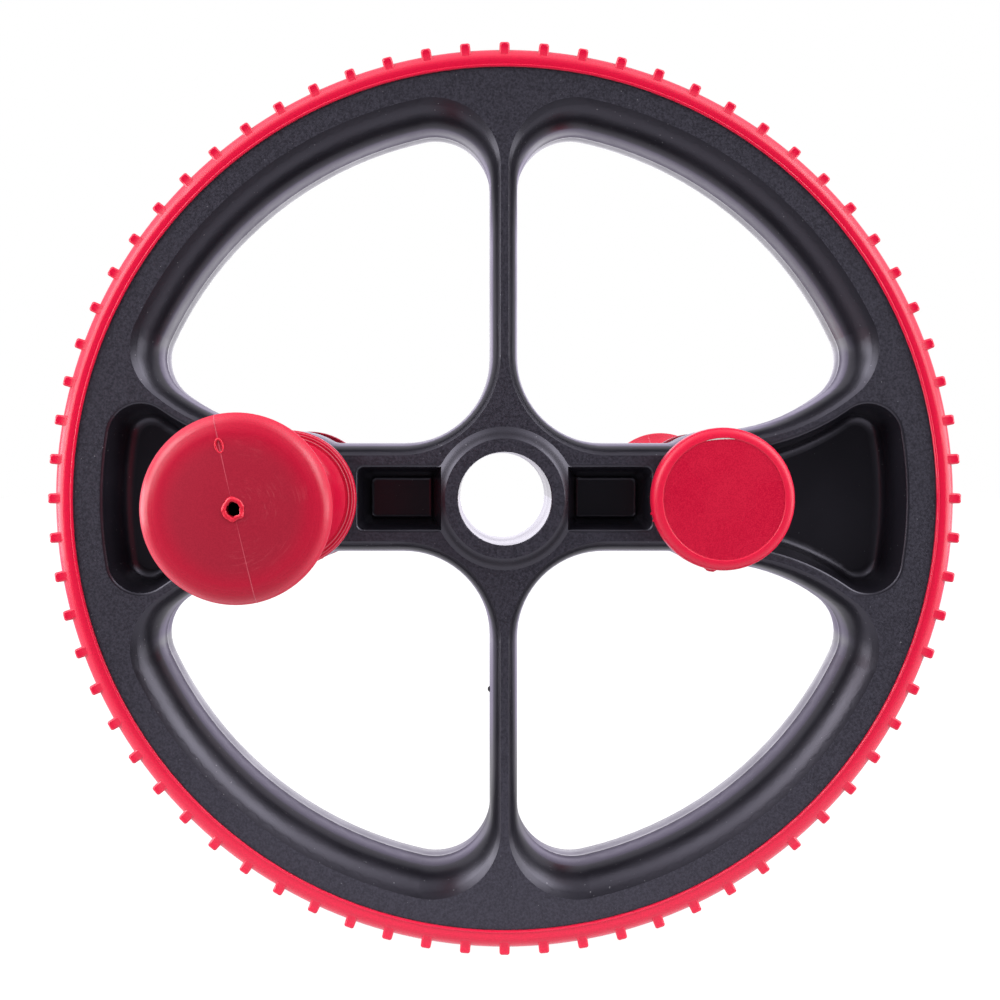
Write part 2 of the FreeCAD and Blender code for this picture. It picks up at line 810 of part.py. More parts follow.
def draw_rib(sketch, inset):
    """One rib's outline, at the wheel's top, drawn in by an inset: sides that lean in and a tip
    with round corners."""
    foot = BASE_RADIUS - size.rib_root
    reach = size.tread_radius - inset
    foot_side = size.rib_width / 2 - inset
    flat_side = size.rib_flat_width / 2 - inset
    bend = size.rib_tip_round.value
    tip = Vector(flat_side.value, reach.value, 0)
    heel = Vector(foot_side.value, foot.value, 0)
    centre = tip - Vector(0, bend, 0)
    gap = heel - centre
    spread = Rotation(Vector(0, 0, 1), math.degrees(math.acos(bend / gap.Length)))
    cheek = centre + spread.multVec(gap).normalize() * bend

    def across(point):
        return Vector(-point.x, point.y, 0)

    points = [across(heel), heel, cheek, tip, across(tip), across(cheek)]
    bends = [None, None, (centre, bend, 1), None, (across(centre), bend, 1), None]
    base, right, right_corner, top, left_corner, left = Chain(points, bends, sharp=(0, 1)).draw(sketch)
    place(sketch, base, 1, -foot_side, foot)
    place(sketch, right, 1, foot_side, foot)
    place(sketch, top, 1, flat_side, reach)
    place(sketch, top, 2, -flat_side, reach)
    for index in (right_corner, left_corner):
        hold(sketch, "Radius", (index,), size.rib_tip_round)


# Bushes and handles

def bush(name, direction, side):
    """A flanged sleeve pressed into a boss from its face, in which the tube turns."""
    outer = size.boss_bore_radius - size.seat_gap
    flange_top = size.bush_length + size.bush_flange_thickness
    body = turned(name, [
        (BUSH_BORE, ZERO),
        (outer, ZERO),
        (outer, size.bush_length),
        (size.bush_flange_radius, size.bush_length),
        (size.bush_flange_radius, flange_top),
        (BUSH_BORE, flange_top),
    ])
    stand(body, direction, BOSS_FACE - size.bush_length, side)
    return body


def ring(name, inner, outer, length, direction, start, side):
    """A plain tube or washer."""
    body = turned(name, [(inner, ZERO), (outer, ZERO), (outer, length), (inner, length)])
    stand(body, direction, start, side)
    return body


def retaining_bolt(name, direction, side):
    """A low round head with a hexagon socket, on a shank with a chamfered point."""
    head_top = size.bolt_length + size.bolt_head_height
    body = turned(name, [
        (ZERO, ZERO),
        (size.bolt_radius - size.bolt_point, ZERO),
        (size.bolt_radius, size.bolt_point),
        (size.bolt_radius, size.bolt_length),
        (size.bolt_head_radius, size.bolt_length),
        (size.bolt_head_radius, head_top),
        (ZERO, head_top),
    ])
    round_edges(body, f"{name}_crown", size.bolt_head_round, ring_edge(size.bolt_head_radius, head_top))
    socket_sketch = new_sketch(body, f"{name}_socket_outline", height=head_top)
    reach = size.bolt_socket_width / (2 * math.cos(math.pi / HEXAGON_SIDES))
    corners = []
    for number in range(HEXAGON_SIDES):
        angle = math.pi * (2 * number + 1) / HEXAGON_SIDES
        across = reach * math.cos(angle) if abs(math.cos(angle)) > NEAR else ZERO
        corners.append((across, reach * math.sin(angle)))
    polygon(socket_sketch, corners)
    pocket(body, f"{name}_socket", socket_sketch, size.bolt_socket_depth, False)
    document.recompute()
    stand(body, direction, KEEPER_FACE - size.bolt_length, side)
    return body


def grip(name, direction, side):
    """The soft grip: stepped base flange, hollow neck, barrel and wide end flange, whose crowned
    face is level at its middle."""
    bore = size.tube_radius + size.seat_gap
    bore_end = size.grip_length - size.grip_end_wall
    ring_foot = size.grip_base_thickness
    collar_foot = ring_foot + size.grip_ring_thickness
    neck_foot = collar_foot + size.grip_collar_thickness
    barrel_foot = neck_foot + size.grip_neck_length
    flange_back = size.grip_length - size.grip_flange_thickness
    flare_foot = flange_back - size.grip_flare_length
    flange_edge = size.grip_length - size.grip_crown
    level_bow = size.grip_crown / 4
    neck, barrel, flare, crown = 6, 7, 8, 10
    body = turned(name, [
        (bore, ZERO),
        (size.grip_base_radius, ZERO),
        (size.grip_base_radius, ring_foot),
        (size.grip_ring_radius, ring_foot),
        (size.grip_ring_radius, collar_foot),
        (size.grip_collar_radius, collar_foot),
        (size.grip_collar_radius, neck_foot),
        (size.grip_neck_radius, barrel_foot),
        (size.grip_neck_radius, flare_foot),
        (size.grip_flange_radius, flange_back),
        (size.grip_flange_radius, flange_edge),
        (size.grip_vent_radius, size.grip_length),
        (size.grip_vent_radius, bore_end),
        (bore, bore_end),
    ], {
        neck: -size.grip_neck_hollow,
        barrel: size.grip_barrel_rise,
        flare: -size.grip_flare_hollow,
        crown: level_bow,
    })
    base_edges = [ring_edge(size.grip_base_radius, height) for height in (ZERO, ring_foot)]
    round_edges(body, f"{name}_base_edges", size.grip_base_round, *base_edges)
    ring_top = ring_edge(size.grip_ring_radius, collar_foot)
    collar_top = ring_edge(size.grip_collar_radius, neck_foot)
    round_edges(body, f"{name}_step_edges", size.grip_ring_round, ring_top, collar_top)
    end_edge = ring_edge(size.grip_flange_radius, flange_edge)
    round_edges(body, f"{name}_end_edge", size.grip_flange_round, end_edge)
    back_edge = ring_edge(size.grip_flange_radius, flange_back)
    round_edges(body, f"{name}_back_edge", size.grip_flange_back_round, back_edge)
    stand(body, direction, GRIP_START, side)
    return body


def end_cap(name, direction, side):
    """The cap pressed on the retaining washer, with room for the bolt's head and a recess for its disc."""
    washer_hole = size.keeper_radius + size.seat_gap
    washer_floor = KEEPER_FACE - CAP_START
    head_floor = washer_floor + size.bolt_head_height + size.cap_head_room
    recess_radius = size.disc_radius + size.seat_gap
    recess_floor = size.cap_height - size.disc_recess
    body = turned(name, [
        (ZERO, head_floor),
        (size.cap_hollow_radius, head_floor),
        (size.cap_hollow_radius, washer_floor),
        (washer_hole, washer_floor),
        (washer_hole, ZERO),
        (size.cap_radius, ZERO),
        (size.cap_radius, size.cap_height),
        (recess_radius, size.cap_height),
        (recess_radius, recess_floor),
        (ZERO, recess_floor),
    ])
    round_edges(body, f"{name}_top", size.cap_round, ring_edge(size.cap_radius, size.cap_height))
    round_edges(body, f"{name}_lip", size.cap_lip_round, ring_edge(recess_radius, size.cap_height))
    round_edges(body, f"{name}_skirt", size.cap_skirt_round, ring_edge(size.cap_radius, ZERO))
    stand(body, direction, CAP_START, side)
    return body


def cap_disc(name, direction, side):
    """The thin disc in the cap's recess, with a chamfered upper edge."""
    body = turned(name, [
        (ZERO, ZERO),
        (size.disc_radius, ZERO),
        (size.disc_radius, size.disc_thickness - size.disc_edge),
        (size.disc_radius - size.disc_edge, size.disc_thickness),
        (ZERO, size.disc_thickness),
    ])
    stand(body, direction, CAP_START + size.cap_height - size.disc_recess, side)
    return body


def build_handle(word, side):
    """One handle and its two bushes: the left handle's grip points forward, the right one's back."""
    out = side
    back = -side
    tube_length = TUBE_START + TUBE_END
    plug_radius = TUBE_BORE - size.seat_gap
    plug_start = TUBE_START - size.plug_length
    slip = size.slip_thickness
    keeper = size.keeper_thickness
    return [
        bush(f"{word}_grip_side_bush", out, side),
        bush(f"{word}_cap_side_bush", back, side),
        ring(f"{word}_handle_tube", TUBE_BORE, size.tube_radius, tube_length, out, -TUBE_START, side),
        ring(f"{word}_thrust_washer", BUSH_BORE, size.slip_radius, slip, out, SLIP_START, side),
        grip(f"{word}_grip", out, side),
        ring(f"{word}_tube_plug", BOLT_HOLE, plug_radius, size.plug_length, back, plug_start, side),
        ring(f"{word}_retaining_washer", BOLT_HOLE, size.keeper_radius, keeper, back, TUBE_START, side),
        retaining_bolt(f"{word}_retaining_bolt", back, side),
        end_cap(f"{word}_end_cap", back, side),
        cap_disc(f"{word}_cap_disc", back, side),
    ]


def check_build(pieces):
    """Stops unless every feature is sound, every cut removes material and every piece is one solid."""
    for thing in document.Objects:
        if "Invalid" in thing.State or "Error" in thing.State:
            raise RuntimeError(f"{thing.Name}: {thing.State}")
        if thing.TypeId in ("PartDesign::Pocket", "PartDesign::Groove"):
            if thing.Shape.Volume >= thing.BaseFeature.Shape.Volume:
                raise RuntimeError(f"{thing.Name}: cuts nothing")
    for piece in pieces:
        shape = piece.Shape
        if shape.isNull() or not shape.isValid() or len(shape.Solids) != 1:
            raise RuntimeError(f"{piece.Name}: not one valid solid")


pieces = [wheel_half("front_wheel_half", -1), wheel_half("rear_wheel_half", 1), tread()]
for word, side in (("left", -1), ("right", 1)):
    pieces += build_handle(word, side)
document.recompute()
check_build(pieces)

os.makedirs("parts", exist_ok=True)
for piece in pieces:
    piece.Label = piece.Name
    piece.Shape.exportStep(f"parts/{piece.Name}.step")
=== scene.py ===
import json
import math

import bpy
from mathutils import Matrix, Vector, noise
from mathutils.bvhtree import BVHTree


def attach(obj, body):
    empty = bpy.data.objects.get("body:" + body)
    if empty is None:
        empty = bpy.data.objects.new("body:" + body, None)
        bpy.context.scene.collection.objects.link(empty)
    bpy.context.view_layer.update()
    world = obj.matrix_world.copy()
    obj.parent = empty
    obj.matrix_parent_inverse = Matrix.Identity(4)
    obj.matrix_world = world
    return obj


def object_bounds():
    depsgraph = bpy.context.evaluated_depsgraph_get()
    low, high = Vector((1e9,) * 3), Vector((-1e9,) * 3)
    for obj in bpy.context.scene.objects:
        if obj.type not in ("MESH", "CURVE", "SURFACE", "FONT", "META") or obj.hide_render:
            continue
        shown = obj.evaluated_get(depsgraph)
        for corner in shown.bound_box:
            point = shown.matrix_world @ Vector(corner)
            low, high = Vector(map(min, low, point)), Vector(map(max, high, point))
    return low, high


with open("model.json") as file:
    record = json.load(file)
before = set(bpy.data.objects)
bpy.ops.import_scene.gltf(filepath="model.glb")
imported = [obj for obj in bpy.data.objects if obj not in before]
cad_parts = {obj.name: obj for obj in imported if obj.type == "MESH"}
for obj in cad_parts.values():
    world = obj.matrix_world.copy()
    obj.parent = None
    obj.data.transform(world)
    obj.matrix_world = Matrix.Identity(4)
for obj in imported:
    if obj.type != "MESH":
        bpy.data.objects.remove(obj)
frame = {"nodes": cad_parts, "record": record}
cad_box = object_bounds()
nodes = frame["nodes"]

MM = 0.001
FLOOR = cad_box[0].z
HANDLES = (("left", -1), ("right", 1))
HANDLE_X = 70.4 * MM
GRIP_END = 141 * MM


# Node graphs

class Graph:
    """Adds nodes to a node tree, which it clears first."""

    def __init__(self, tree):
        self.tree = tree
        tree.nodes.clear()

    def node(self, kind, settings=None, **inputs):
        """A node with its inputs fed. In an input's name _ is a space, and i0 is the first."""
        made = self.tree.nodes.new(kind)
        for key, value in (settings or {}).items():
            setattr(made, key, value)
        for key, value in inputs.items():
            place = int(key[1:]) if key[1:].isdigit() else key.replace("_", " ")
            self.feed(made.inputs[place], value)
        return made

    def feed(self, socket, value):
        if isinstance(value, bpy.types.NodeSocket):
            self.tree.links.new(value, socket)
        else:
            socket.default_value = value

    def math(self, operation, first, second=0.0):
        made = self.node("ShaderNodeMath", {"operation": operation}, i0=first, i1=second)
        return made.outputs[0]

    def plus(self, first, second):
        return self.math("ADD", first, second)

    def minus(self, first, second):
        return self.math("SUBTRACT", first, second)

    def times(self, first, second):
        return self.math("MULTIPLY", first, second)

    def size(self, value):
        return self.math("ABSOLUTE", value)

    def reach(self, across, up):
        """Distance from an axis along Y."""
        squares = self.plus(self.times(across, across), self.times(up, up))
        return self.math("SQRT", squares)

    def ramp(self, value, span, result=(0.0, 1.0), smooth=True):
        """Carries a value from its span to the result's span, and stops at the ends."""
        kind = "SMOOTHSTEP" if smooth else "LINEAR"
        made = self.node("ShaderNodeMapRange", {"interpolation_type": kind}, Value=value,
                         From_Min=span[0], From_Max=span[1], To_Min=result[0], To_Max=result[1])
        return made.outputs["Result"]

    def mix(self, share, first, second):
        made = self.node("ShaderNodeMix", {"data_type": "RGBA"}, i0=share, i6=first, i7=second)
        return made.outputs[2]

    def split(self, vector):
        return self.node("ShaderNodeSeparateXYZ", Vector=vector).outputs


class Material(Graph):
    """A material's graph, with one Principled shader."""

    def __init__(self, name, **constants):
        self.material = bpy.data.materials.new(name)
        self.material.use_nodes = True
        super().__init__(self.material.node_tree)
        self.shader = self.node("ShaderNodeBsdfPrincipled", **constants)
        self.node("ShaderNodeOutputMaterial", Surface=self.shader.outputs[0])
        coordinates = self.node("ShaderNodeTexCoord").outputs
        self.place = coordinates["Object"]
        self.x, self.y, self.z = self.split(self.place)
        self.facing_y = self.split(coordinates["Normal"])["Y"]

    def drive(self, socket, value):
        self.feed(self.shader.inputs[socket], value)

    def noise(self, size, detail=2.0, roughness=0.5, place=None):
        made = self.node("ShaderNodeTexNoise", Vector=place or self.place, Scale=1 / size,
                         Detail=detail, Roughness=roughness)
        return made.outputs["Fac"]

    def bump(self, height, distance, strength=1.0, normal=None):
        made = self.node("ShaderNodeBump", Height=height, Distance=distance, Strength=strength)
        if normal is not None:
            self.feed(made.inputs["Normal"], normal)
        return made.outputs["Normal"]


def colour(red, green, blue):
    return (red, green, blue, 1.0)


# Looks. A pair of numbers is a span, and a pair of colours the ends of a mix.

UNIT = (0.0, 1.0)
FALLING = (1.0, 0.0)
USUAL_NOISE = (0.3, 0.7)
TONE_NOISE = (0.35, 0.65)
BRUSH_NOISE = (0.2, 0.8)
CLOUD_SHARE = 0.12
PLASTIC_SHINE = 0.35
GRAIN_STRENGTH = 0.6

# Black moulding: facing along the axle, depth from the middle plane, reach from the axle
FLAT_FACING = (0.95, 0.985)
OUTER_FACE_DEPTH = (21 * MM, 23 * MM)
SEAM_DEPTH = (0.12 * MM, 0.35 * MM)
RIM_ROLL_DEPTH = (10 * MM, 30 * MM)
ARM_ROLL_DEPTH = (16 * MM, 30 * MM)
BORE_REACH = (15.6 * MM, 16.4 * MM)
HUB_SLOPE_REACH = (19.9 * MM, 22.7 * MM)
ARM_REACH = (23 * MM, 25 * MM)
RIM_REACH = (85 * MM, 108 * MM)
RIM_ROLL_HEIGHT = 4.8 * MM
ARM_ROLL_HEIGHT = 2.9 * MM
HUB_SLOPE_HEIGHT = 0.34 * MM
BLACK_GRAIN_HEIGHT = 0.05 * MM
BLACK_GRAIN_STRENGTH = (0.08, 0.9)
WALL_ROUGHNESS = (0.28, 0.33)
FACE_ROUGHNESS = (0.46, 0.56)
BORE_POLISH = (0.03, 0.0)
SEAM_SHINE = (0.12, 0.5)
BLACK_REFLECTION = colour(0.87, 0.84, 1.0)
DUST_PEAKS = (0.815, 0.87)
DUST_SHARE = 0.5
DUST = colour(0.16, 0.16, 0.17)
BLACK_WALL = (colour(0.0048, 0.0044, 0.0066), colour(0.0066, 0.006, 0.0088))
BLACK_FACE = (colour(0.004, 0.0036, 0.0062), colour(0.023, 0.0217, 0.03))

# Tread: facing along the axle, reach from the axle
TREAD_FACING = (0.2, 0.6)
TREAD_EDGE_REACH = (143.6 * MM, 148.5 * MM)
TREAD_EDGE_HEIGHT = 0.9 * MM
TREAD_GRAIN_HEIGHT = 0.003 * MM
TREAD_ROUGHNESS = (0.42, 0.25)
TREAD_SCUFFS = (0.35, 0.7)
TREAD_FACE = (colour(0.55, 0.0032, 0.033), colour(0.63, 0.0053, 0.04))
# Running surface: scuffed wear, and darker as painted shade
TREAD_RUN_WORN_AND_SHADED = (colour(0.43, 0.004, 0.026), colour(0.49, 0.011, 0.034))

# Grip: depth from the wheel's middle plane, reach from the handle's axis
END_DEPTH = (137 * MM, 140 * MM)
# Reach of the end flange's middle, which is rougher from wear and darker as painted shade
WORN_AND_SHADED_REACH = (14 * MM, 22.5 * MM)
FLANGE_EDGE_REACH = (19.2 * MM, 27 * MM)
FLANGE_EDGE_HEIGHT = 1.5 * MM
FLANGE_BACK_REACH = (23.6 * MM, 24.4 * MM)
FLANGE_BACK_ROUGHNESS = 0.3
GRIP_ROUGHNESS = (0.27, 0.4)
GRIP_GRAIN_HEIGHT = 0.012 * MM
SCUFFED_SIDE = (4 * MM, -5 * MM)
SCUFF_STREAKS = (0.5, 0.72)
SCUFF_PATCHES = (0.42, 0.6)
STREAKS_PER_RADIAN = 1.6
STREAK_SIZE = 0.55
SCUFF_SHARE = 0.4
SCUFF = colour(0.5, 0.08, 0.1)
GRIP_FRESH = (colour(0.45, 0.003, 0.027), colour(0.51, 0.0065, 0.033))
# Colour of the end flange's middle, darker as painted shade
GRIP_PAINTED_SHADE = (colour(0.31, 0.0055, 0.0235), colour(0.37, 0.0105, 0.0305))


def black_plastic():
    """Bluish black: spark grain and dust on the flat outer faces, smooth walls and hollows."""
    graph = Material("black_plastic", Specular_Tint=BLACK_REFLECTION)
    depth = graph.size(graph.y)
    reach = graph.reach(graph.x, graph.z)
    flat = graph.ramp(graph.size(graph.facing_y), FLAT_FACING)
    face = graph.times(flat, graph.ramp(depth, OUTER_FACE_DEPTH))
    grain = graph.noise(0.75 * MM, detail=3.0, roughness=0.7)
    cloud = graph.noise(20 * MM, detail=3.0)
    dust = graph.ramp(graph.noise(0.9 * MM, detail=0.0), DUST_PEAKS)

    wall_tone = graph.mix(graph.ramp(cloud, USUAL_NOISE), *BLACK_WALL)
    face_tone = graph.mix(graph.ramp(grain, USUAL_NOISE), *BLACK_FACE)
    bare = graph.mix(face, wall_tone, face_tone)
    graph.drive("Base Color", graph.mix(graph.times(dust, DUST_SHARE), bare, DUST))
    graph.drive("Specular IOR Level", graph.ramp(depth, SEAM_DEPTH, SEAM_SHINE))

    polish = graph.ramp(reach, BORE_REACH, BORE_POLISH)
    smooth = graph.minus(graph.ramp(cloud, USUAL_NOISE, WALL_ROUGHNESS), polish)
    rough = graph.ramp(grain, USUAL_NOISE, FACE_ROUGHNESS)
    walls = graph.minus(1.0, face)
    graph.drive("Roughness", graph.plus(graph.times(rough, face), graph.times(smooth, walls)))

    rim = graph.ramp(reach, RIM_REACH)
    arms = graph.minus(graph.ramp(reach, ARM_REACH), rim)
    roll = graph.bump(graph.ramp(depth, RIM_ROLL_DEPTH, FALLING), RIM_ROLL_HEIGHT, rim)
    roll = graph.bump(graph.ramp(depth, ARM_ROLL_DEPTH, FALLING), ARM_ROLL_HEIGHT, arms, roll)
    roll = graph.bump(graph.ramp(reach, HUB_SLOPE_REACH, FALLING), HUB_SLOPE_HEIGHT, 1.0, roll)
    coarseness = graph.ramp(face, UNIT, BLACK_GRAIN_STRENGTH)
    graph.drive("Normal", graph.bump(grain, BLACK_GRAIN_HEIGHT, coarseness, roll))
    return graph.material


def plastic(name, tones, roughness, grain_size, grain_depth):
    """Plain moulded plastic with a faint cloud and a fine grain."""
    graph = Material(name, Specular_IOR_Level=PLASTIC_SHINE)
    cloud = graph.noise(14 * MM, detail=1.5)
    grain = graph.noise(grain_size, roughness=0.6)
    tone = graph.plus(graph.times(cloud, CLOUD_SHARE), graph.times(grain, 1 - CLOUD_SHARE))
    graph.drive("Base Color", graph.mix(graph.ramp(tone, TONE_NOISE), *tones))
    graph.drive("Roughness", graph.ramp(cloud, USUAL_NOISE, roughness))
    graph.drive("Normal", graph.bump(grain, grain_depth, GRAIN_STRENGTH))
    return graph.material


def red_tread():
    """Glossy red on its faces, with a round outer edge; where it runs on the floor duller and
    scuffed, and darker as painted shade.
    """
    graph = Material("red_tread", Specular_IOR_Level=PLASTIC_SHINE)
    grain = graph.noise(0.5 * MM, roughness=0.6)
    scuff = graph.ramp(graph.noise(7 * MM, detail=4.0, roughness=0.65), TREAD_SCUFFS)
    side = graph.ramp(graph.size(graph.facing_y), TREAD_FACING)
    fresh = graph.mix(graph.ramp(grain, USUAL_NOISE), *TREAD_FACE)
    # The running surface: scuffed wear, darkened as painted shade
    worn_and_shaded_tone = graph.mix(scuff, *TREAD_RUN_WORN_AND_SHADED)
    graph.drive("Base Color", graph.mix(side, worn_and_shaded_tone, fresh))
    graph.drive("Roughness", graph.ramp(side, UNIT, TREAD_ROUGHNESS))
    edge = graph.ramp(graph.reach(graph.x, graph.z), TREAD_EDGE_REACH, FALLING)
    rounded = graph.bump(edge, TREAD_EDGE_HEIGHT)
    graph.drive("Normal", graph.bump(grain, TREAD_GRAIN_HEIGHT, GRAIN_STRENGTH, rounded))
    return graph.material


def red_grip():
    """Glossy red with scuffs that run round the end flange, whose middle is rougher from wear and
    darker as painted shade.
    """
    graph = Material("red_grip", Specular_IOR_Level=PLASTIC_SHINE)
    aside = graph.minus(graph.size(graph.x), HANDLE_X)
    reach = graph.reach(aside, graph.z)
    end = graph.ramp(graph.size(graph.y), END_DEPTH)
    # The end flange's middle: rougher from wear, and darker in colour as painted shade
    worn_and_shaded = graph.times(end, graph.ramp(reach, WORN_AND_SHADED_REACH, FALLING))

    turn = graph.math("ARCTAN2", graph.z, aside)
    rings = graph.node("ShaderNodeCombineXYZ", X=graph.times(reach, 1 / MM),
                       Y=graph.times(turn, STREAKS_PER_RADIAN))
    streak_noise = graph.noise(STREAK_SIZE, detail=3.0, roughness=0.6, place=rings.outputs[0])
    streaks = graph.ramp(streak_noise, SCUFF_STREAKS)
    patches = graph.times(graph.ramp(graph.noise(9 * MM), SCUFF_PATCHES),
                          graph.ramp(aside, SCUFFED_SIDE))
    scuff = graph.times(graph.times(streaks, patches), graph.times(worn_and_shaded, SCUFF_SHARE))

    grain = graph.noise(0.35 * MM, roughness=0.6)
    speckle = graph.ramp(grain, USUAL_NOISE)
    fresh = graph.mix(speckle, *GRIP_FRESH)
    # Painted shade: the darker tone of the flange's middle
    worn_and_shaded_tone = graph.mix(speckle, *GRIP_PAINTED_SHADE)
    graph.drive("Base Color", graph.mix(scuff, graph.mix(worn_and_shaded, fresh, worn_and_shaded_tone), SCUFF))
    behind = graph.times(graph.ramp(reach, FLANGE_BACK_REACH), FLANGE_BACK_ROUGHNESS)
    graph.drive("Roughness", graph.plus(graph.ramp(worn_and_shaded, UNIT, GRIP_ROUGHNESS), behind))
    edge = graph.ramp(reach, FLANGE_EDGE_REACH, FALLING)
    rounded = graph.bump(edge, FLANGE_EDGE_HEIGHT, end)
    graph.drive("Normal", graph.bump(grain, GRIP_GRAIN_HEIGHT, GRAIN_STRENGTH, rounded))
    return graph.material


def brushed(name, tones, roughness):
    graph = Material(name, Metallic=1.0)
    streaks = graph.noise(0.6 * MM, detail=3.0)
    graph.drive("Base Color", graph.mix(streaks, *tones))
    graph.drive("Roughness", graph.ramp(streaks, BRUSH_NOISE, roughness))
    return graph.material


CAP_TONES = (colour(0.58, 0.0058, 0.036), colour(0.64, 0.008, 0.042))
DISC_TONES = (colour(0.4, 0.0, 0.022), colour(0.52, 0.0086, 0.036))
NYLON_TONES = (colour(0.66, 0.64, 0.58), colour(0.74, 0.72, 0.66))
PALE_TONES = (colour(0.5, 0.06, 0.09), colour(0.58, 0.09, 0.12))
TORN_TONES = (colour(0.62, 0.008, 0.03), colour(0.74, 0.02, 0.05))
STEEL_TONES = (colour(0.448, 0.448, 0.464), colour(0.56, 0.56, 0.58))
ZINC_TONES = (colour(0.496, 0.496, 0.48), colour(0.62, 0.62, 0.6))

materials = {
    "black_plastic": black_plastic(),
    "red_tread": red_tread(),
    "red_grip": red_grip(),
    "red_cap": plastic("red_cap", CAP_TONES, (0.33, 0.39), 0.4 * MM, 0.006 * MM),
    "red_disc": plastic("red_disc", DISC_TONES, (0.26, 0.32), 0.4 * MM, 0.006 * MM),
    "nylon": plastic("nylon", NYLON_TONES, (0.4, 0.5), 0.5 * MM, 0.01 * MM),
    "steel": brushed("steel", STEEL_TONES, (0.28, 0.43)),
    "zinc_steel": brushed("zinc_steel", ZINC_TONES, (0.3, 0.45)),
}
# Pale red: the parting lines' own colour, and painted highlight on the base flange's lines
pale_red = plastic("pale_red", PALE_TONES, (0.4, 0.5), 0.3 * MM, 0.01 * MM)
fresh_red = plastic("fresh_red", TORN_TONES, (0.26, 0.36), 0.3 * MM, 0.02 * MM)

for entry in frame["record"]["subparts"]:
    mesh = nodes[entry["node"]].data
    mesh.materials.clear()
    mesh.materials.append(materials[entry["material_slot"]])


# Moulding marks: parting lines, gate marks, flash and beads, with painted highlights as pale
# lines on the base flanges and a pale strip atop each disc

# Reach is from the handle's axis and depth from the middle plane. Lengths with no MM are in mm,
# apart from where rays start. Ragged values are shares of a height or of a spread.
LINE_ANGLE = math.radians(103)
LINE_WIDTH, LINE_HEIGHT, LINE_RAGGED = 0.42 * MM, 0.11 * MM, 0.5
LINE_END_REACHES = [3 + 0.75 * step for step in range(26)]
LINE_EDGE_DEGREES = range(80, -1, -8)
LINE_SIDE_DEPTHS = range(135, 31, -1)
EDGE_CENTRE_REACH, EDGE_CENTRE_DEPTH = 21.5 * MM, 137 * MM
# How far out, in metres, rays start to find the grip's end, edge and side
END_START, EDGE_START, SIDE_START = 0.2, 0.05, 0.1
RIDGE_ROOT = 0.06 * MM
RIDGE_END_SHARE = 0.05
GATE_REACH = 16.4 * MM
GATE_HALF_LENGTH, GATE_HALF_WIDTH = 1.75 * MM, 0.95 * MM
GATE_THICKNESS, GATE_SWING, GATE_FLATNESS = 0.3, 0.05, 0.8
# Mean, coarse swing and fine swing in mm, and the size of the noise that swings them
LIP_INNER = (1.8, 0.45, 0.3)
LIP_OUTER = (2.95, 0.5, 0.2)
LIP_RISE = (0.46, 0.36, 0.16)
LIP_COARSE, LIP_FINE = 1.7, 4.1
# Reach, depth and thickness of each pale line, a painted highlight on a step edge, in mm
BASE_HIGHLIGHT_LINES = ((20.0, 35.2, 0.2), (20.95, 33.78, 0.17), (21.75, 33.52, 0.2))
# Degree, length and height of each piece of flash on a cap, the last two in mm
CAP_FLASH = ((-99, 4.6, 0.75), (-64, 1.6, 0.5), (-41, 1.8, 0.55), (-168, 1.2, 0.5),
             (-162, 1.0, 0.45))
CAP_FLASH_DEPTH, CAP_FLASH_REACH, CAP_FLASH_WIDTH = 31 * MM, 23.05 * MM, 1.4 * MM
CAP_FLASH_RAGGED, CAP_FLASH_STEPS = 0.35, 12
CAP_BEND = 23.1
# The pale strip at the top of each cap's disc edge, a painted highlight
HIGHLIGHT_START_DEGREE, HIGHLIGHT_DEGREES = 80, 27
HIGHLIGHT_RIM_REACH, HIGHLIGHT_RIM_DEPTH = 19.64 * MM, 36.98 * MM
HIGHLIGHT_FLOOR_REACH, HIGHLIGHT_FLOOR_DEPTH = 19.6 * MM, 36.68 * MM
HIGHLIGHT_SWELL = 0.08 * MM
HIGHLIGHT_EDGE, HIGHLIGHT_SPREAD, HIGHLIGHT_RAGGED, HIGHLIGHT_STEPS = 0.08, 0.28, 0.4, 30
BEAD_SWING = 0.02
SPOKE_FLASH_X, SPOKE_FLASH_Z, SPOKE_FLASH_LENGTH = -4.75, -66.4, 2.2
SPOKE_FLASH_WIDTH, SPOKE_FLASH_HEIGHT, SPOKE_FLASH_RAGGED = 0.9 * MM, 0.6 * MM, 0.4
SPOKE_FLASH_ROOT, SPOKE_FLASH_STEPS = 0.05 * MM, 10


def skin(rows, loop=False, tube=False):
    """Vertices and faces over rows of points. A loop closes along the rows, a tube round each."""
    count = len(rows[0])
    faces = []
    for row in range(len(rows) if loop else len(rows) - 1):
        near = row * count
        far = (row + 1) % len(rows) * count
        for step in range(count if tube else count - 1):
            ahead = (step + 1) % count
            faces.append((near + step, near + ahead, far + ahead, far + step))
    return [point for row in rows for point in row], faces


def add_piece(name, shape, body, material):
    vertices, faces = shape
    mesh = bpy.data.meshes.new(name)
    mesh.from_pydata(vertices, [], faces)
    mesh.materials.append(material)
    mesh.shade_smooth()
    piece = bpy.data.objects.new(name, mesh)
    bpy.context.scene.collection.objects.link(piece)
    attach(piece, body)


def surface_of(node):
    mesh = nodes[node].data
    points = [vertex.co for vertex in mesh.vertices]
    return BVHTree.FromPolygons(points, [face.vertices for face in mesh.polygons])


def turns(count):
    """Equal angles round a full turn."""
    return [2 * math.pi * number / count for number in range(count)]


def ray(angle, side=1):
    """A direction across a handle, mirrored for the left one when its side is given."""
    return Vector((math.cos(angle) * side, 0, math.sin(angle)))


def wobble(place, seed):
    """A repeatable value between about -1 and 1."""
    return noise.noise(Vector((place * 3.1, seed * 7.7, seed * 1.3)))


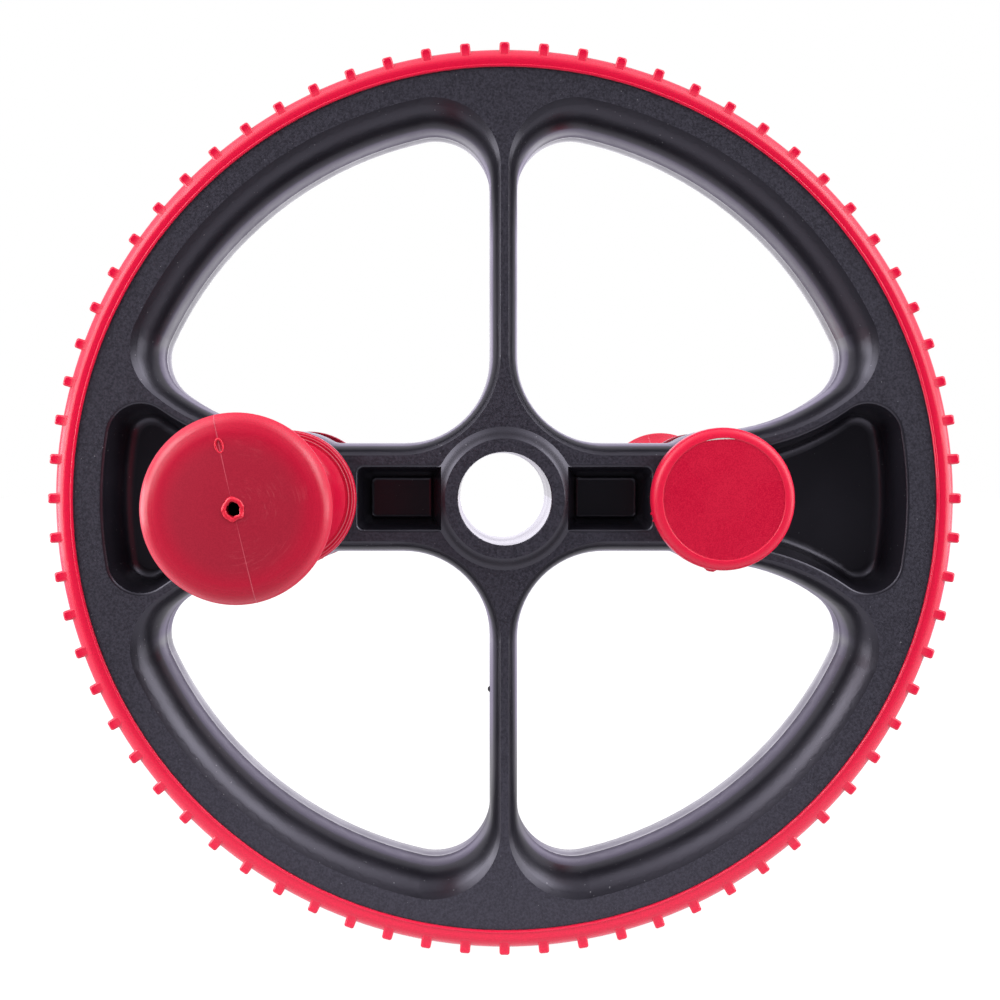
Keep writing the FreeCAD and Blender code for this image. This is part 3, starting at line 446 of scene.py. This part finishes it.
def ridge(stations, width, height, ragged, seed=1):
    """The skin of a low three-sided ridge along (point, normal) stations, thin at both ends."""
    rows = []
    last = len(stations) - 1
    for number, (point, normal) in enumerate(stations):
        ahead = stations[min(number + 1, last)][0] - stations[max(number - 1, 0)][0]
        aside = normal.cross(ahead).normalized() * width / 2
        taper = min(1.0, 4 * number / last, 4 * (last - number) / last) + RIDGE_END_SHARE
        rise = height * taper * (1 + ragged * wobble(number, seed))
        base = point - normal * RIDGE_ROOT
        rows.append((base - aside, point + normal * rise, base + aside))
    return skin(rows)


def grip_path(tree, side, angle):
    """Stations on a grip: out over its end flange from the vent, then back along its side."""
    aside = ray(angle)
    along = Vector((0, side, 0))
    centre = Vector((HANDLE_X * side, 0, 0))
    edge_centre = centre + aside * EDGE_CENTRE_REACH + along * EDGE_CENTRE_DEPTH
    casts = []
    for reach in LINE_END_REACHES:
        casts.append((centre + aside * reach * MM + along * END_START, -along))
    for degree in LINE_EDGE_DEGREES:
        bend = math.radians(degree)
        spoke = along * math.sin(bend) + aside * math.cos(bend)
        casts.append((edge_centre + spoke * EDGE_START, -spoke))
    for depth in LINE_SIDE_DEPTHS:
        casts.append((centre + along * depth * MM + aside * SIDE_START, -aside))
    return [tree.ray_cast(start, direction)[:2] for start, direction in casts]


def add_grip_marks(word, side):
    """A grip's parting line, gate mark and torn vent."""
    tree = surface_of(f"{word}_grip")
    for end, angle in (("upper", LINE_ANGLE), ("lower", LINE_ANGLE + math.pi)):
        line = ridge(grip_path(tree, side, angle), LINE_WIDTH, LINE_HEIGHT, LINE_RAGGED)
        add_piece(f"{word}_{end}_parting_line", line, f"{word}_handle", pale_red)
    face = Vector((0, side, 0))
    along = ray(LINE_ANGLE)
    across = along.cross(face)
    centre = Vector((HANDLE_X * side, 0, 0))
    spot = tree.ray_cast(centre + along * GATE_REACH + face * END_START, -face)[0]
    add_gate_ring(word, spot, along, across, face)
    add_torn_lip(word, centre + face * GRIP_END, along, across, face)


def add_gate_ring(word, spot, along, across, face):
    """The oval witness mark of the mould's gate, astride the parting line."""
    rows = []
    for number, angle in enumerate(turns(40)):
        reach = (along * math.cos(angle) * GATE_HALF_LENGTH
                 + across * math.sin(angle) * GATE_HALF_WIDTH)
        outward = reach.normalized()
        thick = (GATE_THICKNESS + GATE_SWING * wobble(number, 3)) * MM
        rows.append([spot + reach + outward * thick * math.cos(bend)
                     + face * GATE_FLATNESS * thick * math.sin(bend) for bend in turns(10)])
    ring = skin(rows, loop=True, tube=True)
    add_piece(f"{word}_gate_mark", ring, f"{word}_handle", fresh_red)


def add_torn_lip(word, centre, along, across, face):
    """The ragged lip that trimming leaves round the vent hole."""
    rows = []
    for angle in turns(72):
        out = across * math.cos(angle) + along * math.sin(angle)
        loop = Vector((math.cos(angle), math.sin(angle), 0)) * LIP_COARSE
        swings = (noise.noise(loop), noise.noise(loop * LIP_FINE))
        inner, outer, rise = (mean + coarse * swings[0] + fine * swings[1]
                              for mean, coarse, fine in (LIP_INNER, LIP_OUTER, LIP_RISE))
        profile = ((1.86, -0.4), (inner, 0.1), (inner + 0.1, rise), (outer - 0.3, 0.85 * rise),
                   (outer, 0.3 * rise), (outer + 0.1, -0.08))
        rows.append([centre + out * reach * MM + face * height * MM for reach, height in profile])
    lip = skin(rows, loop=True)
    add_piece(f"{word}_torn_lip", lip, f"{word}_handle", fresh_red)


def add_base_highlight_lines(word, side):
    """Fine raised lines on the steps of a grip's base flange, pale as painted highlights on the
    step edges.
    """
    face = Vector((0, side, 0))
    for number, (reach, depth, thick) in enumerate(BASE_HIGHLIGHT_LINES, start=1):
        rows = []
        for angle in turns(120):
            out = ray(angle)
            centre = Vector((HANDLE_X * side, depth * MM * side, 0)) + out * reach * MM
            rows.append([centre + (out * math.cos(bend) + face * math.sin(bend)) * thick * MM
                         for bend in turns(6)])
        line = skin(rows, loop=True, tube=True)
        # Pale red paints the step edge's highlight
        add_piece(f"{word}_base_highlight_line_{number}", line, f"{word}_handle", pale_red)


def add_cap_flash(word, side):
    """Scraps of flash at a cap's edge."""
    centre = Vector((HANDLE_X * side, -side * CAP_FLASH_DEPTH, 0))
    for number, (degree, length, height) in enumerate(CAP_FLASH, start=1):
        stations = []
        for step in range(CAP_FLASH_STEPS + 1):
            share = step / CAP_FLASH_STEPS - 0.5
            angle = math.radians(degree) + share * length / CAP_BEND
            out = ray(angle, side)
            stations.append((centre + out * CAP_FLASH_REACH, out))
        scrap = ridge(stations, CAP_FLASH_WIDTH, height * MM, CAP_FLASH_RAGGED, number)
        add_piece(f"{word}_cap_flash_{number}", scrap, f"{word}_handle",
                  materials["red_cap"])


def add_disc_top_highlight(word, side):
    """A pale strip at the top of a cap's disc edge: a painted highlight where light from above
    catches it.
    """
    swell = Vector((0, -side * HIGHLIGHT_SWELL, 0))
    rows = []
    for step in range(HIGHLIGHT_STEPS + 1):
        share = step / HIGHLIGHT_STEPS
        out = ray(math.radians(HIGHLIGHT_START_DEGREE + HIGHLIGHT_DEGREES * share), side)
        bulge = HIGHLIGHT_SPREAD * math.sin(math.pi * share) * (1 + HIGHLIGHT_RAGGED * wobble(step, 5))
        floor_reach = HIGHLIGHT_FLOOR_REACH - (HIGHLIGHT_EDGE + bulge) * MM
        rim = Vector((HANDLE_X * side, -side * HIGHLIGHT_RIM_DEPTH, 0)) + out * HIGHLIGHT_RIM_REACH
        floor = Vector((HANDLE_X * side, -side * HIGHLIGHT_FLOOR_DEPTH, 0)) + out * floor_reach
        rows.append((rim, (rim + floor) / 2 + swell, floor))
    # The pale nylon colour paints the highlight
    add_piece(f"{word}_disc_top_highlight", skin(rows), f"{word}_handle", materials["nylon"])


def add_disc_bead(word, side):
    """The bead of melt that closes the gap round a cap's disc."""
    rows = []
    for angle in turns(96):
        out = ray(angle)
        rough = BEAD_SWING * noise.noise(out * 5)
        profile = ((19.4, 36.68), (19.55, 36.75 + rough), (19.7, 36.8 + rough), (19.85, 36.8))
        rows.append([Vector((HANDLE_X * side, -side * depth * MM, 0)) + out * reach * MM
                     for reach, depth in profile])
    bead = skin(rows, loop=True)
    add_piece(f"{word}_disc_bead", bead, f"{word}_handle", materials["red_disc"])


def add_spoke_flash():
    """A sliver of flash where the halves meet on the lower spoke."""
    out = Vector((-1, 0, 0))
    stations = []
    for step in range(SPOKE_FLASH_STEPS + 1):
        height = SPOKE_FLASH_Z + (step / SPOKE_FLASH_STEPS - 0.5) * SPOKE_FLASH_LENGTH
        place = Vector((SPOKE_FLASH_X, 0, height)) * MM
        stations.append((place - out * SPOKE_FLASH_ROOT, out))
    sliver = ridge(stations, SPOKE_FLASH_WIDTH, SPOKE_FLASH_HEIGHT, SPOKE_FLASH_RAGGED, seed=9)
    add_piece("lower_spoke_flash", sliver, "wheel", materials["black_plastic"])


for word, side in HANDLES:
    add_grip_marks(word, side)
    add_base_highlight_lines(word, side)
    add_cap_flash(word, side)
    add_disc_top_highlight(word, side)
    add_disc_bead(word, side)
add_spoke_flash()


# Stage

# Strength of the light: in the room by how far a direction points away from the viewer,
# and on the floor by the distance back in metres
LOWER_LIGHT = ((-1.0, 0.03), (-0.85, 0.15), (-0.7, 0.25), (-0.3, 0.25), (-0.1, 0.6), (0.05, 0.9),
               (0.31, 0.9), (0.5, 0.8), (0.64, 0.8), (0.74, 0.85), (0.8, 0.88), (0.86, 0.92),
               (0.9, 1.0), (0.96, 1.4), (1.0, 2.8))
UPPER_LIGHT = ((-1.0, 0.05), (-0.85, 0.5), (-0.77, 1.2), (-0.5, 2.4), (-0.35, 3.8), (-0.1, 3.8),
               (0.1, 3.0), (0.35, 1.5), (0.5, 1.0), (0.64, 0.9), (0.74, 0.85), (0.8, 0.82),
               (0.86, 0.84), (0.9, 0.95), (0.96, 1.4), (1.0, 2.8))
FLOOR_LIGHT = ((-0.5, 0.15), (-0.3, 0.5), (-0.15, 1.25), (-0.05, 1.4), (0.08, 0.9), (0.16, 0.65),
               (0.24, 0.6), (0.31, 0.68), (0.39, 0.8), (0.49, 0.95), (0.6, 0.98), (0.8, 1.1),
               (1.0, 1.5))
LIGHT_SPAN = (-1.0, 1.0)
BRIGHTEST = 4.5
# Where the light that the edges pick up from behind is lavender: red and green shares of the blue
TINTED_ROOM = (0.85, 0.97)
TINTED_FLOOR = (0.38, 0.9)
LAVENDER = (0.8, 0.7)
NEAR_WHITE = (0.96, 0.94)
# Heights and widths of the directions between the lower and the upper light
UPPER_HEIGHT = (0.12, 0.5)
UPPER_WIDTH = (0.1, 0.5)
UPPER_SHARE = (0.3, 1.0)
FLOOR_HALF_SIZE = 6.0
# Name, place, target, width, height and power
SOFTBOXES = (
    ("left_box", (-0.85, -0.45, 0.4), (0, 0, 0), 0.6, 0.7, 5.8),
    ("right_box", (0.8, -0.42, 0.5), (0, 0, 0), 0.6, 0.7, 5.0),
    ("left_strip", (-0.9, -0.1, 0.0), (0, -0.1, 0), 0.9, 0.35, 5.0),
    ("right_strip", (0.9, -0.1, 0.0), (0, -0.1, 0), 0.9, 0.35, 3.6),
)
CAMERA_PLACE = (-0.0084, -0.523, 0.0118)


def light_ramp(graph, share, stops, tinted):
    """A table's light as a share of the brightest, at a share of the way along its span."""
    ramp = graph.node("ShaderNodeValToRGB", i0=share)
    elements = ramp.color_ramp.elements
    while len(elements) < len(stops):
        elements.new(0.5)
    for element, (depth, strength) in zip(elements, stops):
        element.position = (depth + 1) / 2
        level = strength / BRIGHTEST
        red, green = LAVENDER if tinted[0] <= depth <= tinted[1] else NEAR_WHITE
        element.color = colour(red * level, green * level, level)
    return ramp.outputs[0]


def stage_floor():
    """A floor that the camera sees as white, lit from its table for everything else."""
    mesh = bpy.data.meshes.new("floor")
    reach = FLOOR_HALF_SIZE
    corners = [(x * reach, y * reach, FLOOR) for x, y in ((-1, -1), (1, -1), (1, 1), (-1, 1))]
    mesh.from_pydata(corners, [], [(0, 1, 2, 3)])
    floor = bpy.data.objects.new("floor", mesh)
    bpy.context.scene.collection.objects.link(floor)
    graph = Material("floor", Base_Color=colour(0.08, 0.08, 0.08), Roughness=0.9,
                     Specular_IOR_Level=0.0, Emission_Strength=BRIGHTEST)
    back = graph.ramp(graph.y, LIGHT_SPAN, smooth=False)
    lit = light_ramp(graph, back, FLOOR_LIGHT, TINTED_FLOOR)
    seen = graph.node("ShaderNodeLightPath").outputs["Is Camera Ray"]
    white = 1.0 / BRIGHTEST
    graph.drive("Emission Color", graph.mix(seen, lit, colour(white, white, white)))
    mesh.materials.append(graph.material)


def stage_world():
    """A room that the camera sees as white, lit from its tables for everything else."""
    world = bpy.data.worlds.new("studio")
    bpy.context.scene.world = world
    world.use_nodes = True
    graph = Graph(world.node_tree)
    x, y, z = graph.split(graph.node("ShaderNodeTexCoord").outputs["Generated"])
    away = graph.ramp(y, LIGHT_SPAN, smooth=False)
    above = graph.ramp(z, UPPER_HEIGHT)
    aside = graph.ramp(graph.size(x), UPPER_WIDTH, UPPER_SHARE)
    lit = graph.mix(graph.times(above, aside), light_ramp(graph, away, LOWER_LIGHT, TINTED_ROOM),
                    light_ramp(graph, away, UPPER_LIGHT, TINTED_ROOM))
    room = graph.node("ShaderNodeBackground", Color=lit, Strength=BRIGHTEST)
    shown = graph.node("ShaderNodeBackground", Color=colour(1.0, 1.0, 1.0))
    seen = graph.node("ShaderNodeLightPath").outputs["Is Camera Ray"]
    either = graph.node("ShaderNodeMixShader", i0=seen, i1=room.outputs[0], i2=shown.outputs[0])
    graph.node("ShaderNodeOutputWorld", Surface=either.outputs[0])


def add_softbox(name, place, target, width, height, power):
    light = bpy.data.lights.new(name, "AREA")
    light.shape = "RECTANGLE"
    light.size = width
    light.size_y = height
    light.energy = power
    lamp = bpy.data.objects.new(name, light)
    bpy.context.scene.collection.objects.link(lamp)
    lamp.location = place
    lamp.rotation_mode = "QUATERNION"
    lamp.rotation_quaternion = (Vector(target) - Vector(place)).to_track_quat("-Z", "Y")


def stage_camera():
    data = bpy.data.cameras.new("camera")
    data.sensor_width = 36.0
    data.lens = 54.5
    data.shift_x = 0.021
    data.shift_y = -0.0375
    data.clip_start = 0.01
    data.clip_end = 100.0
    camera = bpy.data.objects.new("camera", data)
    bpy.context.scene.collection.objects.link(camera)
    camera.location = CAMERA_PLACE
    camera.rotation_euler = (math.pi / 2, 0, 0)
    bpy.context.scene.camera = camera


stage_floor()
stage_world()
for softbox in SOFTBOXES:
    add_softbox(*softbox)
stage_camera()
bpy.context.scene.view_settings.view_transform = "Standard"
